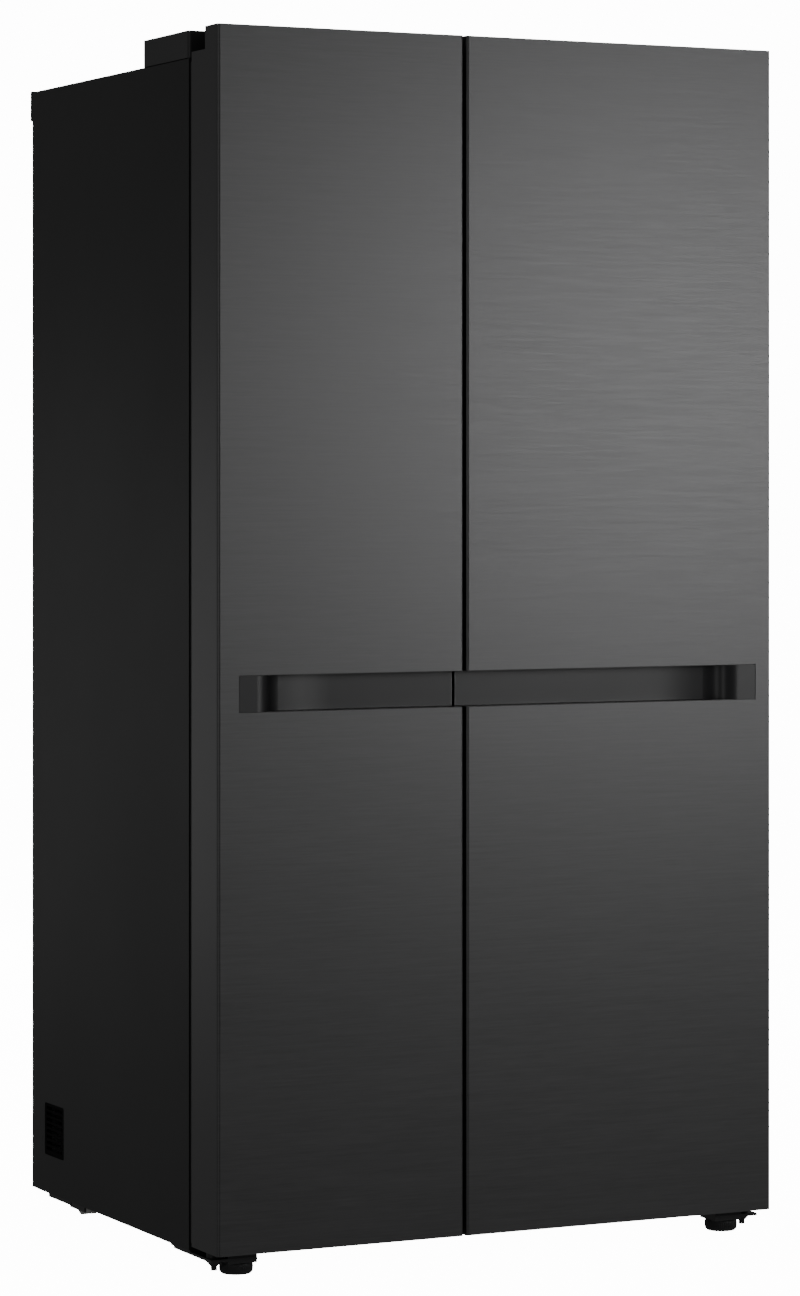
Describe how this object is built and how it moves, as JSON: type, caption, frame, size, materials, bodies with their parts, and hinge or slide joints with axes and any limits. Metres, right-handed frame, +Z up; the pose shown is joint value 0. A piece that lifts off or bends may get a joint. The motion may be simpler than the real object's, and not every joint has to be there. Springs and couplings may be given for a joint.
{
  "type": "side-by-side refrigerator",
  "caption": "Free-standing side-by-side refrigerator with a tall freezer door, a wider fridge door and a recessed grip channel across both.",
  "frame": {"origin": "on the floor, under the middle of the overall bounding box", "axes": "+Z up, the doors face -Y, +X is to the right of someone facing the doors"},
  "size_m": [0.913, 0.735, 1.79],
  "materials": {
    "front_steel": "satin",
    "case_paint": "satin",
    "zinc_steel": "satin",
    "black_plastic": "satin",
    "liner_white": "satin",
    "clear_plastic": "gloss",
    "shelf_glass": "gloss",
    "foam": "matte",
    "gasket_rubber": "matte",
    "grey_plastic": "satin",
    "lamp_lens": "satin",
    "fin_aluminium": "satin",
    "compressor_paint": "gloss",
    "coil_steel": "satin",
    "mount_rubber": "matte",
    "roller_nylon": "matte"
  },
  "bodies": {
    "cabinet": {"air_duct": "liner_white", "back_panel": "zinc_steel", "base_frame": "zinc_steel", "bottom_plate": "zinc_steel", "compressor": "compressor_paint", "compressor_mounts": "mount_rubber", "condenser_coil": "coil_steel", "condenser_fan_shroud": "black_plastic", "control_box": "zinc_steel", "control_panel": "grey_plastic", "cord_gland": "black_plastic", "drain_pan": "black_plastic", "evaporator": "fin_aluminium", "evaporator_cover": "liner_white", "freezer_fan_motor": "zinc_steel", "freezer_liner": "liner_white", "fridge_liner": "liner_white", "hinge_covers": "black_plastic", "ice_maker_frame": "grey_plastic", "insulation_foam": "foam", "lamp_lenses": "lamp_lens", "lower_hinges": "zinc_steel", "machine_base": "zinc_steel", "machine_cover": "zinc_steel", "mullion_cover": "zinc_steel", "outer_shell": "case_paint", "rear_spacers": "black_plastic", "shelf_panes": "shelf_glass", "shelf_trims": "grey_plastic", "side_vents": "black_plastic", "top_hinges": "zinc_steel"},
    "freezer_door": {"freezer_door_skin": "front_steel", "freezer_door_caps": "black_plastic", "freezer_door_foam": "foam", "freezer_door_liner": "liner_white", "freezer_door_gasket": "gasket_rubber", "freezer_door_bins": "clear_plastic", "freezer_grip_channel": "black_plastic"},
    "fridge_door": {"fridge_door_skin": "front_steel", "fridge_door_caps": "black_plastic", "fridge_door_foam": "foam", "fridge_door_liner": "liner_white", "fridge_door_gasket": "gasket_rubber", "fridge_door_bins": "clear_plastic", "fridge_grip_channel": "black_plastic"},
    "freezer_drawer_lower": {"freezer_drawer_lower": "clear_plastic"},
    "freezer_drawer_upper": {"freezer_drawer_upper": "clear_plastic"},
    "crisper_lower": {"crisper_lower": "clear_plastic"},
    "crisper_upper": {"crisper_upper": "clear_plastic"},
    "ice_tray_left": {"ice_tray_left": "grey_plastic"},
    "ice_tray_right": {"ice_tray_right": "grey_plastic"},
    "ice_bin": {"ice_bin": "clear_plastic"},
    "freezer_fan": {"freezer_fan": "black_plastic"},
    "condenser_fan": {"condenser_fan": "black_plastic"},
    "freezer_button": {"freezer_button": "liner_white"},
    "fridge_button": {"fridge_button": "liner_white"},
    "levelling_foot_left": {"levelling_foot_left": "black_plastic"},
    "levelling_foot_right": {"levelling_foot_right": "black_plastic"},
    "rear_roller_left": {"rear_roller_left": "roller_nylon"},
    "rear_roller_right": {"rear_roller_right": "roller_nylon"}
  },
  "joints": [
    {"name": "freezer_door_hinge", "type": "hinge", "parent": "cabinet", "child": "freezer_door", "pos_m": [-0.4385, -0.3125, 0.9], "axis": [0, 0, -1], "range_deg": [0, 125]},
    {"name": "fridge_door_hinge", "type": "hinge", "parent": "cabinet", "child": "fridge_door", "pos_m": [0.4385, -0.3125, 0.9], "axis": [0, 0, 1], "range_deg": [0, 125]},
    {"name": "freezer_drawer_lower_slide", "type": "slide", "parent": "cabinet", "child": "freezer_drawer_lower", "axis": [0, -1, 0], "range_m": [0, 0.19]},
    {"name": "freezer_drawer_upper_slide", "type": "slide", "parent": "cabinet", "child": "freezer_drawer_upper", "axis": [0, -1, 0], "range_m": [0, 0.24]},
    {"name": "crisper_lower_slide", "type": "slide", "parent": "cabinet", "child": "crisper_lower", "axis": [0, -1, 0], "range_m": [0, 0.19]},
    {"name": "crisper_upper_slide", "type": "slide", "parent": "cabinet", "child": "crisper_upper", "axis": [0, -1, 0], "range_m": [0, 0.24]},
    {"name": "ice_bin_slide", "type": "slide", "parent": "cabinet", "child": "ice_bin", "axis": [0, -1, 0], "range_m": [0, 0.22]},
    {"name": "ice_tray_left_twist", "type": "hinge", "parent": "cabinet", "child": "ice_tray_left", "pos_m": [-0.32025, 0, 1.617], "axis": [0, 1, 0], "range_deg": [0, 120], "stiffness_Nm_per_rad": 0.35},
    {"name": "ice_tray_right_twist", "type": "hinge", "parent": "cabinet", "child": "ice_tray_right", "pos_m": [-0.18025, 0, 1.617], "axis": [0, 1, 0], "range_deg": [0, 120], "stiffness_Nm_per_rad": 0.35},
    {"name": "freezer_fan_spin", "type": "hinge", "parent": "cabinet", "child": "freezer_fan", "pos_m": [-0.25025, 0.258, 0.76], "axis": [0, 1, 0], "continuous": true},
    {"name": "condenser_fan_spin", "type": "hinge", "parent": "cabinet", "child": "condenser_fan", "pos_m": [0.0135, 0.2505, 0.134], "axis": [1, 0, 0], "continuous": true},
    {"name": "freezer_button_press", "type": "slide", "parent": "cabinet", "child": "freezer_button", "axis": [0, 1, 0], "range_m": [0, 0.0012], "stiffness_N_per_m": 800},
    {"name": "fridge_button_press", "type": "slide", "parent": "cabinet", "child": "fridge_button", "axis": [0, 1, 0], "range_m": [0, 0.0012], "stiffness_N_per_m": 800},
    {"name": "levelling_foot_left_turn", "type": "hinge", "parent": "cabinet", "child": "levelling_foot_left", "pos_m": [-0.4029, -0.3105, 0.008], "axis": [0, 0, 1], "continuous": true},
    {"name": "rear_roller_left_spin", "type": "hinge", "parent": "cabinet", "child": "rear_roller_left", "pos_m": [-0.4115, 0.2375, 0.02], "axis": [1, 0, 0], "continuous": true},
    {"name": "levelling_foot_right_turn", "type": "hinge", "parent": "cabinet", "child": "levelling_foot_right", "pos_m": [0.4029, -0.3105, 0.008], "axis": [0, 0, 1], "continuous": true},
    {"name": "rear_roller_right_spin", "type": "hinge", "parent": "cabinet", "child": "rear_roller_right", "pos_m": [0.4115, 0.2375, 0.02], "axis": [1, 0, 0], "continuous": true}
  ],
  "couplings": [
    {"joint": "freezer_drawer_lower_slide", "follows": "freezer_door_hinge", "m_per_rad": 0.087089},
    {"joint": "freezer_drawer_upper_slide", "follows": "freezer_door_hinge", "m_per_rad": 0.11001},
    {"joint": "crisper_lower_slide", "follows": "fridge_door_hinge", "m_per_rad": 0.087089},
    {"joint": "crisper_upper_slide", "follows": "fridge_door_hinge", "m_per_rad": 0.11001},
    {"joint": "ice_bin_slide", "follows": "freezer_door_hinge", "m_per_rad": 0.10084}
  ]
}
